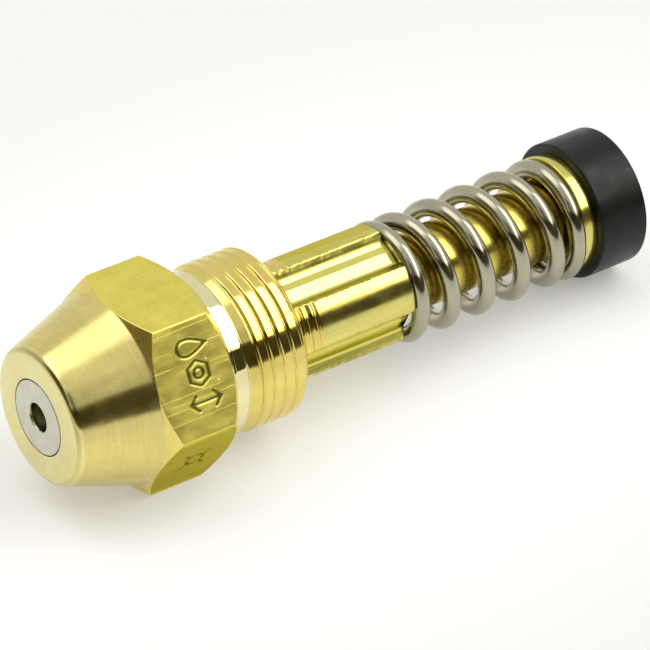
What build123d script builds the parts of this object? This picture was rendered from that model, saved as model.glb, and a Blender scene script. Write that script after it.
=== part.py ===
from build123d import *
import os
from math import cos, pi, radians, sin, tan

# Return-flow oil burner nozzle, in millimetres.
# The nozzle's axis is the Y axis: the spray leaves towards -Y and the return seal faces +Y.
# The origin is on the axis, where the first thread crest begins behind the hexagon.
# The hexagon has one flat facing straight down and one straight up.

# ---- driving dimensions -------------------------------------------------------------
# Nozzle body
FACE_Y = -15.70            # front face of the nose
NOSE_FRONT_R = 5.72        # cone produced to the front face
NOSE_REAR_R = 7.95
NOSE_REAR_Y = -9.10
NOSE_EDGE_R = 0.80         # rounding of the front edge
HEX_ACROSS_FLATS = 16.0
HEX_CORNER_FRONT_Y = -8.10
HEX_CORNER_REAR_Y = -3.20
HEX_REAR_SLOPE = 40.0      # degrees between the rear chamfer and the seat plane
SEAT_R = 7.60
SEAT_Y = -1.80
SEAT_RING_R = 7.30
SEAT_RING_Y = -1.40
NECK_R = 6.95
NECK_Y = -0.37
UNDERCUT_R = 6.70          # small V groove between the neck and the thread
UNDERCUT_Y = -0.27
THREAD_R = 7.144           # 9/16 inch - 24 UNEF
THREAD_PITCH = 25.4 / 24
THREAD_CRESTS = 5
THREAD_CREST_WIDTH = 0.75  # broad crests with narrow, shallow grooves between them
THREAD_DEPTH = 0.23
THREAD_END_R = 6.70        # end chamfer
BODY_REAR_Y = 5.45

# Bores of the body, from the front
DISC_BORE_R = 3.22
DISC_SEAT_Y = -14.20
PACK_BORE_R = 4.25
PACK_BORE_REAR_Y = -6.70
SCREW_BORE_R = 5.01

# Orifice disc
DISC_R = 3.15
DISC_FLANGE_R = 4.20
DISC_REAR_Y = -13.10
DISC_RECESS_R = 1.20
DISC_RECESS_DEPTH = 1.30
ORIFICE_R = 0.25

# Swirl disc
SWIRL_REAR_Y = -11.70
SWIRL_CHAMBER_R = 1.40
SWIRL_DEPTH = 0.50
SWIRL_SLOTS = 4
SWIRL_SLOT_WIDTH = 0.50
SWIRL_RETURN_R = 0.50

# Return insert
INSERT_REAR_Y = -5.50
INSERT_REAR_R = 3.90
INSERT_BORE_R = 0.90
INSERT_CUP_R = 2.20
INSERT_CUP_DEPTH = 2.50
INSERT_GROOVES = 4
INSERT_GROOVE_WIDTH = 2.40
INSERT_GROOVE_FLOOR_R = 3.30

# Locking screw, M10 x 0.75
SCREW_R = 5.00
SCREW_PITCH = 0.75
SCREW_REAR_Y = 17.35
SCREW_THREAD_END_Y = 8.30
SCREW_BORE_GUIDE_R = 3.33
SCREW_HEAD_BORE_R = 3.70
SCREW_STOP_Y = 1.95
FLUTES = 4
FLUTE_ANGLE = 70.0         # degrees of the first flute from +X towards +Z
FLUTE_FLOOR_H = 4.10       # floor's distance from the axis
FLUTE_FLOOR_WIDTH = 2.40
FLUTE_RIM_WIDTH = 3.80

# Return tube with its front head
TUBE_R = 3.28
TUBE_BORE_R = 1.90
TUBE_HEAD_R = 3.65
TUBE_HEAD_LENGTH = 2.20
TUBE_REAR_Y = 38.30
ORING_Y = 9.30
ORING_GROOVE_FLOOR_R = 2.48
ORING_GROOVE_WIDTH = 1.10
ORING_OUTER_R = 3.30

# Spring
SPRING_WIRE_R = 0.75
SPRING_MEAN_R = 4.53
SPRING_TURNS = 5.9
SPRING_CLOSED_TURNS = 0.6  # at each end
SPRING_RAMP_TURNS = 0.4    # over which the pitch opens
SPRING_CLOSED_PITCH = 1.00
SPRING_START_ANGLE = 221.0 # degrees of the front tip from +X towards +Z
SPRING_FRONT_GROUND = 0.26 # wire centre's distance from the front ground end
SPRING_REAR_GROUND = 0.05  # and from the rear one
SPRING_DROP = 0.24         # the coil is loose on the tube and lies this far below the axis

# Spring collar and seal ring
COLLAR_Y = 34.54
COLLAR_R = 5.08
COLLAR_THICKNESS = 1.18
SPIGOT_R = 3.90
SPIGOT_REAR_Y = 38.90
SEAL_R = 5.85
SEAL_REAR_Y = 40.30
SEAL_PORT_R = 2.20
SEAL_CHAMFER = 0.30

# Clearances
PLANE_GAP = 0.02           # between a moving face and the face it rests against
FIT_GAP = 0.01             # radial, between pressed pieces
TRAVEL = 5.0               # of the return tube towards the nose
ROOTED = 0.05              # how far a thread crest's section reaches into its core

os.makedirs("parts", exist_ok=True)


def across(y):
    """Plane square to the nozzle's axis at station y, with local x, y along +X, +Z."""
    return Plane.XZ.offset(-y)


def along(length):
    """Extrusion amount that runs from such a plane towards +Y."""
    return -length


def ridge(y, crest_r, crest_width, depth):
    """Half section of one thread crest that starts at y, with 60 degree flanks."""
    run = depth * tan(radians(30))
    return [
        (crest_r - depth, y - run),
        (crest_r, y),
        (crest_r, y + crest_width),
        (crest_r - depth, y + crest_width + run),
    ]


# ---- nozzle body --------------------------------------------------------------------
hex_corner_r = HEX_ACROSS_FLATS / 2 / cos(radians(30))
seat_chamfer_y = HEX_CORNER_REAR_Y + (hex_corner_r - SEAT_R) * tan(radians(HEX_REAR_SLOPE))
thread_core_r = THREAD_R - THREAD_DEPTH
thread_core_y = -THREAD_DEPTH * tan(radians(30)) - 0.01

with BuildPart() as nozzle_body:
    # Nose cone and the turned blank of the hexagon
    with BuildSketch(Plane.XY):
        with BuildLine():
            Polyline(
                (0, FACE_Y),
                (NOSE_FRONT_R, FACE_Y),
                (NOSE_REAR_R, NOSE_REAR_Y),
                (hex_corner_r, HEX_CORNER_FRONT_Y),
                (hex_corner_r, HEX_CORNER_REAR_Y),
                (SEAT_R, seat_chamfer_y),
                (SEAT_R, SEAT_Y),
                (0, SEAT_Y),
                close=True,
            )
        make_face()
    revolve(axis=Axis.Y)
    front_edge = nozzle_body.edges().group_by(Axis.Y)[0]
    fillet(front_edge, radius=NOSE_EDGE_R)
    # Six flats, one of them facing down
    with BuildSketch(across(FACE_Y)):
        RegularPolygon(HEX_ACROSS_FLATS / 2, 6, major_radius=False)
    extrude(amount=along(SEAT_Y - FACE_Y), mode=Mode.INTERSECT)
    # Seat ring, neck, undercut and thread
    with BuildSketch(Plane.XY):
        with BuildLine():
            Polyline(
                (0, SEAT_Y),
                (SEAT_RING_R, SEAT_Y),
                (SEAT_RING_R, SEAT_RING_Y - 0.1),
                (SEAT_RING_R - 0.1, SEAT_RING_Y),
                (NECK_R, SEAT_RING_Y),
                (NECK_R, NECK_Y),
                (UNDERCUT_R, UNDERCUT_Y),
                (thread_core_r, thread_core_y),
                (thread_core_r, BODY_REAR_Y + THREAD_END_R - thread_core_r),
                (THREAD_END_R, BODY_REAR_Y),
                (0, BODY_REAR_Y),
                close=True,
            )
        make_face()
        for number in range(THREAD_CRESTS):
            crest_y = number * THREAD_PITCH
            with BuildLine():
                Polyline(*ridge(crest_y, THREAD_R, THREAD_CREST_WIDTH, THREAD_DEPTH + ROOTED), close=True)
            make_face()
    revolve(axis=Axis.Y)
    # Bores for the orifice disc, the swirl pack and the locking screw
    with BuildSketch(Plane.XY):
        with BuildLine():
            Polyline(
                (0, FACE_Y),
                (DISC_BORE_R, FACE_Y),
                (DISC_BORE_R, DISC_SEAT_Y),
                (PACK_BORE_R, DISC_SEAT_Y),
                (PACK_BORE_R, PACK_BORE_REAR_Y),
                (SCREW_BORE_R, PACK_BORE_REAR_Y),
                (SCREW_BORE_R, BODY_REAR_Y - 0.3),
                (SCREW_BORE_R + 0.3, BODY_REAR_Y),
                (0, BODY_REAR_Y),
                close=True,
            )
        make_face()
    revolve(axis=Axis.Y, mode=Mode.SUBTRACT)
nozzle_body.part.label = "nozzle_body"
export_step(nozzle_body.part, "parts/nozzle_body.step")

# ---- orifice disc: a flanged steel plug that the body's shoulder holds --------------
with BuildPart() as orifice_disc:
    with BuildSketch(Plane.XY):
        with BuildLine():
            Polyline(
                (DISC_RECESS_R + 0.12, FACE_Y),
                (DISC_R, FACE_Y),
                (DISC_R, DISC_SEAT_Y),
                (DISC_FLANGE_R, DISC_SEAT_Y),
                (DISC_FLANGE_R, DISC_REAR_Y),
                (SWIRL_CHAMBER_R, DISC_REAR_Y),
                (ORIFICE_R, DISC_REAR_Y - 0.8),
                (ORIFICE_R, FACE_Y + DISC_RECESS_DEPTH + 0.2),
                (DISC_RECESS_R, FACE_Y + DISC_RECESS_DEPTH),
                (DISC_RECESS_R, FACE_Y + 0.12),
                close=True,
            )
        make_face()
    revolve(axis=Axis.Y)
orifice_disc.part.label = "orifice_disc"
export_step(orifice_disc.part, "parts/orifice_disc.step")

# ---- swirl disc: tangential slots feed a round chamber; a return hole leaves behind --
swirl_slot_x = SWIRL_CHAMBER_R - SWIRL_SLOT_WIDTH / 2
swirl_slot_length = DISC_FLANGE_R + 0.2

with BuildPart() as swirl_disc:
    with BuildSketch(across(DISC_REAR_Y)):
        Circle(DISC_FLANGE_R)
    extrude(amount=along(SWIRL_REAR_Y - DISC_REAR_Y))
    with BuildSketch(across(DISC_REAR_Y)):
        Circle(SWIRL_CHAMBER_R)
        with PolarLocations(0, SWIRL_SLOTS):
            with Locations((swirl_slot_x, swirl_slot_length / 2)):
                Rectangle(SWIRL_SLOT_WIDTH, swirl_slot_length)
    extrude(amount=along(SWIRL_DEPTH), mode=Mode.SUBTRACT)
    with BuildSketch(across(DISC_REAR_Y)):
        Circle(SWIRL_RETURN_R)
    extrude(amount=along(SWIRL_REAR_Y - DISC_REAR_Y), mode=Mode.SUBTRACT)
swirl_disc.part.label = "swirl_disc"
export_step(swirl_disc.part, "parts/swirl_disc.step")

# ---- return insert: supply oil passes outside it, return oil through it --------------
insert_groove_depth = DISC_FLANGE_R + 0.5 - INSERT_GROOVE_FLOOR_R

with BuildPart() as return_insert:
    with BuildSketch(Plane.XY):
        with BuildLine():
            Polyline(
                (INSERT_BORE_R, SWIRL_REAR_Y),
                (DISC_FLANGE_R, SWIRL_REAR_Y),
                (DISC_FLANGE_R, PACK_BORE_REAR_Y),
                (INSERT_REAR_R, PACK_BORE_REAR_Y + 0.3),
                (INSERT_REAR_R, INSERT_REAR_Y),
                (INSERT_CUP_R, INSERT_REAR_Y),
                (INSERT_CUP_R, INSERT_REAR_Y - INSERT_CUP_DEPTH),
                (INSERT_BORE_R, INSERT_REAR_Y - INSERT_CUP_DEPTH - 0.8),
                close=True,
            )
        make_face()
    revolve(axis=Axis.Y)
    with BuildSketch(across(SWIRL_REAR_Y)):
        with PolarLocations(INSERT_GROOVE_FLOOR_R + insert_groove_depth / 2, INSERT_GROOVES):
            Rectangle(insert_groove_depth, INSERT_GROOVE_WIDTH)
    extrude(amount=along(PACK_BORE_REAR_Y + 0.3 - SWIRL_REAR_Y), mode=Mode.SUBTRACT)
return_insert.part.label = "return_insert"
export_step(return_insert.part, "parts/return_insert.step")

# ---- locking screw: clamps the pack, guides the return tube, carries the oil outside -
screw_depth = 0.6134 * SCREW_PITCH
screw_crest = SCREW_PITCH / 8
screw_crests = int((SCREW_THREAD_END_Y - INSERT_REAR_Y) / SCREW_PITCH) - 1
flute_slope = (FLUTE_RIM_WIDTH - FLUTE_FLOOR_WIDTH) / 2
flute_top_h = FLUTE_FLOOR_H + 2 * flute_slope
flute_section = [
    (FLUTE_FLOOR_H, -FLUTE_FLOOR_WIDTH / 2),
    (flute_top_h, -FLUTE_FLOOR_WIDTH / 2 - 2 * flute_slope),
    (flute_top_h, FLUTE_FLOOR_WIDTH / 2 + 2 * flute_slope),
    (FLUTE_FLOOR_H, FLUTE_FLOOR_WIDTH / 2),
]

with BuildPart() as locking_screw:
    with BuildSketch(Plane.XY):
        with BuildLine():
            Polyline(
                (SCREW_HEAD_BORE_R, INSERT_REAR_Y),
                (SCREW_R - screw_depth, INSERT_REAR_Y),
                (SCREW_R - screw_depth, SCREW_THREAD_END_Y),
                (SCREW_R, SCREW_THREAD_END_Y + screw_depth),
                (SCREW_R, SCREW_REAR_Y - 0.15),
                (SCREW_R - 0.15, SCREW_REAR_Y),
                (SCREW_BORE_GUIDE_R + 0.2, SCREW_REAR_Y),
                (SCREW_BORE_GUIDE_R, SCREW_REAR_Y - 0.2),
                (SCREW_BORE_GUIDE_R, SCREW_STOP_Y),
                (SCREW_HEAD_BORE_R, SCREW_STOP_Y),
                close=True,
            )
        make_face()
        for number in range(screw_crests):
            crest_y = SCREW_THREAD_END_Y - (number + 1) * SCREW_PITCH
            with BuildLine():
                Polyline(*ridge(crest_y, SCREW_R, screw_crest, screw_depth + ROOTED), close=True)
            make_face()
    revolve(axis=Axis.Y)
    with BuildSketch(across(INSERT_REAR_Y)):
        with PolarLocations(0, FLUTES, start_angle=FLUTE_ANGLE):
            Polygon(*flute_section, align=None)
    extrude(amount=along(SCREW_REAR_Y - INSERT_REAR_Y), mode=Mode.SUBTRACT)
locking_screw.part.label = "locking_screw"
export_step(locking_screw.part, "parts/locking_screw.step")

# ---- return tube: a headed tube that slides in the locking screw ---------------------
head_rear_y = SCREW_STOP_Y - PLANE_GAP

with BuildPart() as return_tube:
    with BuildSketch(Plane.XY):
        with BuildLine():
            Polyline(
                (TUBE_BORE_R, head_rear_y - TUBE_HEAD_LENGTH),
                (TUBE_HEAD_R - 0.2, head_rear_y - TUBE_HEAD_LENGTH),
                (TUBE_HEAD_R, head_rear_y - TUBE_HEAD_LENGTH + 0.2),
                (TUBE_HEAD_R, head_rear_y),
                (TUBE_R, head_rear_y),
                (TUBE_R, ORING_Y - ORING_GROOVE_WIDTH / 2),
                (ORING_GROOVE_FLOOR_R, ORING_Y - ORING_GROOVE_WIDTH / 2),
                (ORING_GROOVE_FLOOR_R, ORING_Y + ORING_GROOVE_WIDTH / 2),
                (TUBE_R, ORING_Y + ORING_GROOVE_WIDTH / 2),
                (TUBE_R, TUBE_REAR_Y),
                (TUBE_BORE_R, TUBE_REAR_Y),
                close=True,
            )
        make_face()
    revolve(axis=Axis.Y)
return_tube.part.label = "return_tube"
export_step(return_tube.part, "parts/return_tube.step")

# ---- O-ring in the tube's groove -----------------------------------------------------
oring_section_r = (ORING_OUTER_R - ORING_GROOVE_FLOOR_R - FIT_GAP) / 2

with BuildPart() as tube_oring:
    with BuildSketch(Plane.XY):
        with Locations((ORING_OUTER_R - oring_section_r, ORING_Y)):
            Circle(oring_section_r)
    revolve(axis=Axis.Y)
tube_oring.part.label = "tube_oring"
export_step(tube_oring.part, "parts/tube_oring.step")

# ---- spring: right-hand coil with closed, ground ends --------------------------------
spring_length = COLLAR_Y - SCREW_REAR_Y - PLANE_GAP
end_turns = 2 * (SPRING_CLOSED_TURNS + SPRING_RAMP_TURNS / 2)
open_turns = SPRING_TURNS - end_turns
rise = spring_length - SPRING_FRONT_GROUND - SPRING_REAR_GROUND
open_pitch = (rise - end_turns * SPRING_CLOSED_PITCH) / open_turns


def turns_opened(turn):
    """Turns of open pitch passed at a turn: none in a closed end, then a smooth ramp."""
    past = turn - SPRING_CLOSED_TURNS
    if past <= 0:
        return 0.0
    if past >= SPRING_RAMP_TURNS:
        return past - SPRING_RAMP_TURNS / 2
    return past * past / (2 * SPRING_RAMP_TURNS)


def spring_height(turn):
    """Height of the wire's centre above the front ground face."""
    opened = turns_opened(turn)
    left = turns_opened(SPRING_TURNS - turn)
    if turn > SPRING_TURNS / 2:
        opened = open_turns - left
    return SPRING_FRONT_GROUND + turn * SPRING_CLOSED_PITCH + opened * (open_pitch - SPRING_CLOSED_PITCH)


def spring_point(turn):
    """Point on the wire's centre line; the angle falls as the coil climbs to +Y."""
    angle = radians(SPRING_START_ANGLE) - 2 * pi * turn
    y = SCREW_REAR_Y + spring_height(turn)
    return (SPRING_MEAN_R * cos(angle), y, SPRING_MEAN_R * sin(angle) - SPRING_DROP)


POINTS_PER_TURN = 16
spring_steps = round(SPRING_TURNS * POINTS_PER_TURN)
spring_turn_step = SPRING_TURNS / spring_steps

with BuildPart() as spring:
    with BuildLine():
        wire_line = Spline(*[spring_point(n * spring_turn_step) for n in range(spring_steps + 1)])
    with BuildSketch(Plane(origin=wire_line @ 0, z_dir=wire_line % 0)):
        Circle(SPRING_WIRE_R)
    sweep(path=wire_line, is_frenet=True)
    # Both ends ground flat and square to the axis
    with BuildSketch(across(SCREW_REAR_Y)):
        Circle(SPRING_MEAN_R + 2 * SPRING_WIRE_R)
    extrude(amount=along(spring_length), mode=Mode.INTERSECT)
spring.part.label = "spring"
export_step(spring.part, "parts/spring.step")

# ---- spring collar: pressed on the tube, with a spigot for the seal ------------------
with BuildPart() as spring_collar:
    with BuildSketch(Plane.XY):
        with BuildLine():
            Polyline(
                (TUBE_R + FIT_GAP, COLLAR_Y),
                (COLLAR_R - 0.1, COLLAR_Y),
                (COLLAR_R, COLLAR_Y + 0.1),
                (COLLAR_R, COLLAR_Y + COLLAR_THICKNESS),
                (SPIGOT_R, COLLAR_Y + COLLAR_THICKNESS),
                (SPIGOT_R, SPIGOT_REAR_Y),
                (TUBE_BORE_R, SPIGOT_REAR_Y),
                (TUBE_BORE_R, TUBE_REAR_Y + FIT_GAP),
                (TUBE_R + FIT_GAP, TUBE_REAR_Y + FIT_GAP),
                close=True,
            )
        make_face()
    revolve(axis=Axis.Y)
spring_collar.part.label = "spring_collar"
export_step(spring_collar.part, "parts/spring_collar.step")

# ---- seal ring: rubber cap pushed over the spigot -------------------------------------
seal_front_y = COLLAR_Y + COLLAR_THICKNESS + FIT_GAP

with BuildPart() as seal_ring:
    with BuildSketch(Plane.XY):
        with BuildLine():
            Polyline(
                (SPIGOT_R + FIT_GAP, seal_front_y),
                (SEAL_R - SEAL_CHAMFER, seal_front_y),
                (SEAL_R, seal_front_y + SEAL_CHAMFER),
                (SEAL_R, SEAL_REAR_Y - SEAL_CHAMFER),
                (SEAL_R - SEAL_CHAMFER, SEAL_REAR_Y),
                (SEAL_PORT_R, SEAL_REAR_Y),
                (SEAL_PORT_R, SPIGOT_REAR_Y + FIT_GAP),
                (SPIGOT_R + FIT_GAP, SPIGOT_REAR_Y + FIT_GAP),
                close=True,
            )
        make_face()
    revolve(axis=Axis.Y)
seal_ring.part.label = "seal_ring"
export_step(seal_ring.part, "parts/seal_ring.step")

print("spring: open pitch", round(open_pitch, 3), "over", round(open_turns, 2), "turns")
print("head clear of the insert when pushed in",
      round(head_rear_y - TUBE_HEAD_LENGTH - TRAVEL - INSERT_REAR_Y, 3))
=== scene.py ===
from math import atan, atan2, cos, pi, radians, sin, tan

import bpy
import numpy as np
from mathutils import Matrix, Vector


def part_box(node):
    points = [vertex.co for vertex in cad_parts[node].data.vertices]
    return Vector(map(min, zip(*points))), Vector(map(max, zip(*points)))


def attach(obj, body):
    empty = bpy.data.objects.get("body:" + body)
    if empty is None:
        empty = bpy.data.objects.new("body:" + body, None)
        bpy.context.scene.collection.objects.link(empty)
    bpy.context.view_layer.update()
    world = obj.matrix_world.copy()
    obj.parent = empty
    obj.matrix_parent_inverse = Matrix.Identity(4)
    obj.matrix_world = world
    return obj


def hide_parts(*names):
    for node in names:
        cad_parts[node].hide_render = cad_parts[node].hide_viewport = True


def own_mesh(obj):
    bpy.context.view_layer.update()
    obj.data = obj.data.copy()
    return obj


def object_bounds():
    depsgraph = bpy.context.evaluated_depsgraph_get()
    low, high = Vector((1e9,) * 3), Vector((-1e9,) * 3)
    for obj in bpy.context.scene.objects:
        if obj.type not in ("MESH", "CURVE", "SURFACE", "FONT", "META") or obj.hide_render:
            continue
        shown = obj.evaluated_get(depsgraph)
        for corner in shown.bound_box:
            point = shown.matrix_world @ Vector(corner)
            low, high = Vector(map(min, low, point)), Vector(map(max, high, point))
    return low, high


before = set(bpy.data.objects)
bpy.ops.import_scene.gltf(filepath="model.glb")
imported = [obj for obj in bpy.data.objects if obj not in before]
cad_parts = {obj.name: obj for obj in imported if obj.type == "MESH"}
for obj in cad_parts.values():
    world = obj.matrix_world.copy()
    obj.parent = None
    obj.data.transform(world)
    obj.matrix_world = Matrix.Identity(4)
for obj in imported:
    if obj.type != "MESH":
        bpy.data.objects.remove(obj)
cad_low, cad_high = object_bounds()

MM = 0.001

# ---- stations along the axis, in millimetres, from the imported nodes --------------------
body_low, body_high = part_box("nozzle_body")
screw_low, screw_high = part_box("locking_screw")
collar_low, collar_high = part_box("spring_collar")
seal_low, seal_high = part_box("seal_ring")
tube_low, tube_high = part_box("return_tube")

FACE_Y = body_low.y / MM
BODY_REAR_Y = body_high.y / MM
APOTHEM = body_high.z / MM               # half the hexagon's width across flats
HEX_CORNER_R = APOTHEM / cos(radians(30))
SCREW_FRONT_Y = screw_low.y / MM
SCREW_REAR_Y = screw_high.y / MM
SCREW_R = 5.00
COLLAR_Y = collar_low.y / MM
COLLAR_R = collar_high.x / MM
COLLAR_REAR_Y = collar_high.y / MM
SEAL_FRONT_Y = seal_low.y / MM
SEAL_REAR_Y = seal_high.y / MM
SEAL_R = seal_high.x / MM


# ---- mesh helpers -----------------------------------------------------------------------
def rounded(corners, reach, between, arc=4):
    """Points along a line of (y, r) corners: each corner is rounded, each straight divided.

    corners may hold one line or one line per column. reach is how far from each corner its
    rounding starts, at most 0.45 of a straight, and between is how many points each straight
    gets inside it.
    """
    corners = np.asarray(corners, float)
    points = []
    last = corners.shape[-2] - 1

    def towards(n, other, reach_n):
        """Where the rounding of corner n meets the straight to the other corner."""
        straight = corners[..., other, :] - corners[..., n, :]
        length = np.linalg.norm(straight, axis=-1, keepdims=True)
        return corners[..., n, :] + straight * np.minimum(reach_n / length, 0.45)

    for n in range(last + 1):
        here = corners[..., n, :]
        if 0 < n < last and reach[n] > 0:
            enter, leave = towards(n, n - 1, reach[n]), towards(n, n + 1, reach[n])
            for t in np.linspace(0, 1, arc):
                points.append((1 - t) ** 2 * enter + 2 * t * (1 - t) * here + t * t * leave)
        else:
            points.append(here)
        if n < last:
            start, end = points[-1], towards(n + 1, n, reach[n + 1])
            for t in np.linspace(0, 1, between[n] + 2)[1:-1]:
                points.append(start + (end - start) * t)
    return np.stack(points, axis=-2)


def mesh_piece(name, vertices, faces, body, materials, face_materials=None, marks=None):
    """A smooth-shaded mesh that rides on a CAD body. Vertices are in millimetres.

    marks is a number from 0 to 1 for each vertex, which darkens the metal there.
    """
    mesh = bpy.data.meshes.new(name)
    mesh.from_pydata((np.asarray(vertices) * MM).tolist(), [], faces)
    mesh.polygons.foreach_set("use_smooth", [True] * len(mesh.polygons))
    for material in materials:
        mesh.materials.append(material)
    if face_materials is not None:
        mesh.polygons.foreach_set("material_index", face_materials)
    if marks is not None:
        mesh.attributes.new("mark", "FLOAT", "POINT").data.foreach_set("value", marks.ravel())
    mesh.update()
    piece = bpy.data.objects.new(name, mesh)
    bpy.context.scene.collection.objects.link(piece)
    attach(piece, body)
    return piece


def ring_faces(columns, rows):
    """Quads of a grid that closes on itself both around the axis and along its section."""
    column, row = np.meshgrid(np.arange(columns), np.arange(rows), indexing="ij")
    across = (column + 1) % columns
    along = (row + 1) % rows
    quads = np.stack([
        column * rows + row,
        across * rows + row,
        across * rows + along,
        column * rows + along,
    ], axis=-1)
    return quads.reshape(-1, 4).tolist()


def turned_vertices(angles, section):
    """Vertices of sections (y, r), one per angle or one for all, turned about the axis."""
    section = np.broadcast_to(section, (len(angles),) + section.shape[-2:])
    y, r = section[..., 0], section[..., 1]
    return np.stack([r * np.cos(angles)[:, None], y, r * np.sin(angles)[:, None]], axis=-1)


def lathe(name, corners, reach, between, body, materials, pick=None, columns=192, arc=5):
    """A turned piece from a closed section, which starts and ends at its first corner.

    pick(y, r) gives the number of the material for a face at that place.
    """
    section = rounded(list(corners) + [corners[0]], list(reach) + [0], between, arc)[:-1]
    angles = np.linspace(0, 2 * pi, columns, endpoint=False)
    vertices = turned_vertices(angles, section).reshape(-1, 3)
    face_materials = None
    if pick:
        middle = (section + np.roll(section, -1, axis=0)) / 2
        face_materials = np.tile([pick(y, r) for y, r in middle], columns)
    faces = ring_faces(columns, len(section))
    return mesh_piece(name, vertices, faces, body, materials, face_materials)


def steps(*spans):
    """Numbers that run through several spans, each given as (start, end, count)."""
    return np.concatenate([np.linspace(a, b, n, endpoint=False) for a, b, n in spans])


def smooth_step(x):
    """0 up to x = 0, 1 from x = 1, and a smooth rise between them."""
    x = np.clip(x, 0, 1)
    return x * x * (3 - 2 * x)


# ---- material helpers -------------------------------------------------------------------
def fill(tree, socket, value):
    """Link a socket to another node's output, or set its constant."""
    if isinstance(value, bpy.types.NodeSocket):
        tree.links.new(value, socket)
    elif isinstance(value, tuple) and len(value) == 3 and socket.type == "RGBA":
        socket.default_value = (*value, 1)
    else:
        socket.default_value = value


def node(tree, kind, inputs=(), **settings):
    """A new shader node with its settings and inputs; returns the node."""
    made = tree.nodes.new("ShaderNode" + kind)
    for key, value in settings.items():
        setattr(made, key, value)
    for key, value in dict(inputs).items():
        fill(tree, made.inputs[key], value)
    return made


def maths(tree, operation, *values):
    """The result of a math node."""
    made = node(tree, "Math", operation=operation)
    for socket, value in zip(made.inputs, values):
        fill(tree, socket, value)
    return made.outputs[0]


def mix_colour(tree, factor, first, second, blend="MIX"):
    """Two colours mixed by a factor."""
    made = node(tree, "Mix", data_type="RGBA", blend_type=blend)
    for key, value in ((0, factor), (6, first), (7, second)):      # the colour sockets of Mix
        fill(tree, made.inputs[key], value)
    return made.outputs[2]


def remap(tree, value, low, high, to_low=0.0, to_high=1.0):
    """A value taken smoothly from one range to another and held at its ends."""
    inputs = {"Value": value, "From Min": low, "From Max": high, "To Min": to_low, "To Max": to_high}
    return node(tree, "MapRange", inputs, interpolation_type="SMOOTHSTEP").outputs[0]


def place(tree, scale=(1, 1, 1)):
    """The point on the piece in the row frame, in metres, times a scale per axis."""
    made = node(tree, "Mapping", {"Scale": scale})
    tree.links.new(node(tree, "TexCoord").outputs["Object"], made.inputs["Vector"])
    return made.outputs[0]


def noise(tree, scale, detail=2.0, rough=0.5):
    """Noise of a given frequency per metre on each axis; a single number holds for all three."""
    if not isinstance(scale, tuple):
        scale = (scale,) * 3
    made = node(tree, "TexNoise", {"Vector": place(tree, scale), "Scale": 1.0, "Detail": detail,
                                   "Roughness": rough})
    return made.outputs["Fac"]


def pits(tree, spacing, size, share):
    """Small round spots, 1 inside; spacing and size in metres, share of the cells with one."""
    cells = node(tree, "TexVoronoi", {"Vector": place(tree), "Scale": 1 / spacing})
    spot = remap(tree, cells.outputs["Distance"], size / spacing, 0.4 * size / spacing)
    pick = node(tree, "SeparateColor", {"Color": cells.outputs["Color"]})
    chosen = maths(tree, "LESS_THAN", pick.outputs[0], share)
    return maths(tree, "MULTIPLY", spot, chosen)


def bump(tree, *layers):
    """A chain of bumps from (height, depth in metres) layers; returns the normal."""
    normal = None
    for height, depth in layers:
        inputs = {"Height": height, "Distance": depth, "Strength": 1.0}
        if normal is not None:
            inputs["Normal"] = normal
        normal = node(tree, "Bump", inputs).outputs[0]
    return normal


def new_material(name):
    """A material with its tree and Principled shader."""
    material = bpy.data.materials.new(name)
    material.use_nodes = True
    return material, material.node_tree, material.node_tree.nodes["Principled BSDF"]


# colours are linear
BRASS = (0.82, 0.68, 0.20)
BRASS_DEEP = (0.70, 0.54, 0.09)
BRASS_PALE = (0.77, 0.71, 0.36)
BRASS_SOFT = (0.77, 0.655, 0.235)
BRASS_LEMON = (0.83, 0.735, 0.16)
STAIN = (0.30, 0.22, 0.05)
INK_AND_SHADE = (0.085, 0.065, 0.008)      # oxide in the engraved marks and in the nicks, and the colour of the painted shade, painted shadow and painted dark reflection in the other marks
DULL_EDGE = (0.66, 0.61, 0.30)   # a dull surface's tint at a grazing angle
CLEAR_EDGE = (1.0, 1.0, 1.0)
WANDER = 0.94                    # the colour's darker places, as a share of it
INK_COVER = 0.88                 # how much of the metal a full mark hides
ROUGH_LOW, ROUGH_HIGH = 0.85, 1.25      # how far the roughness wanders, as shares of it


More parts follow.
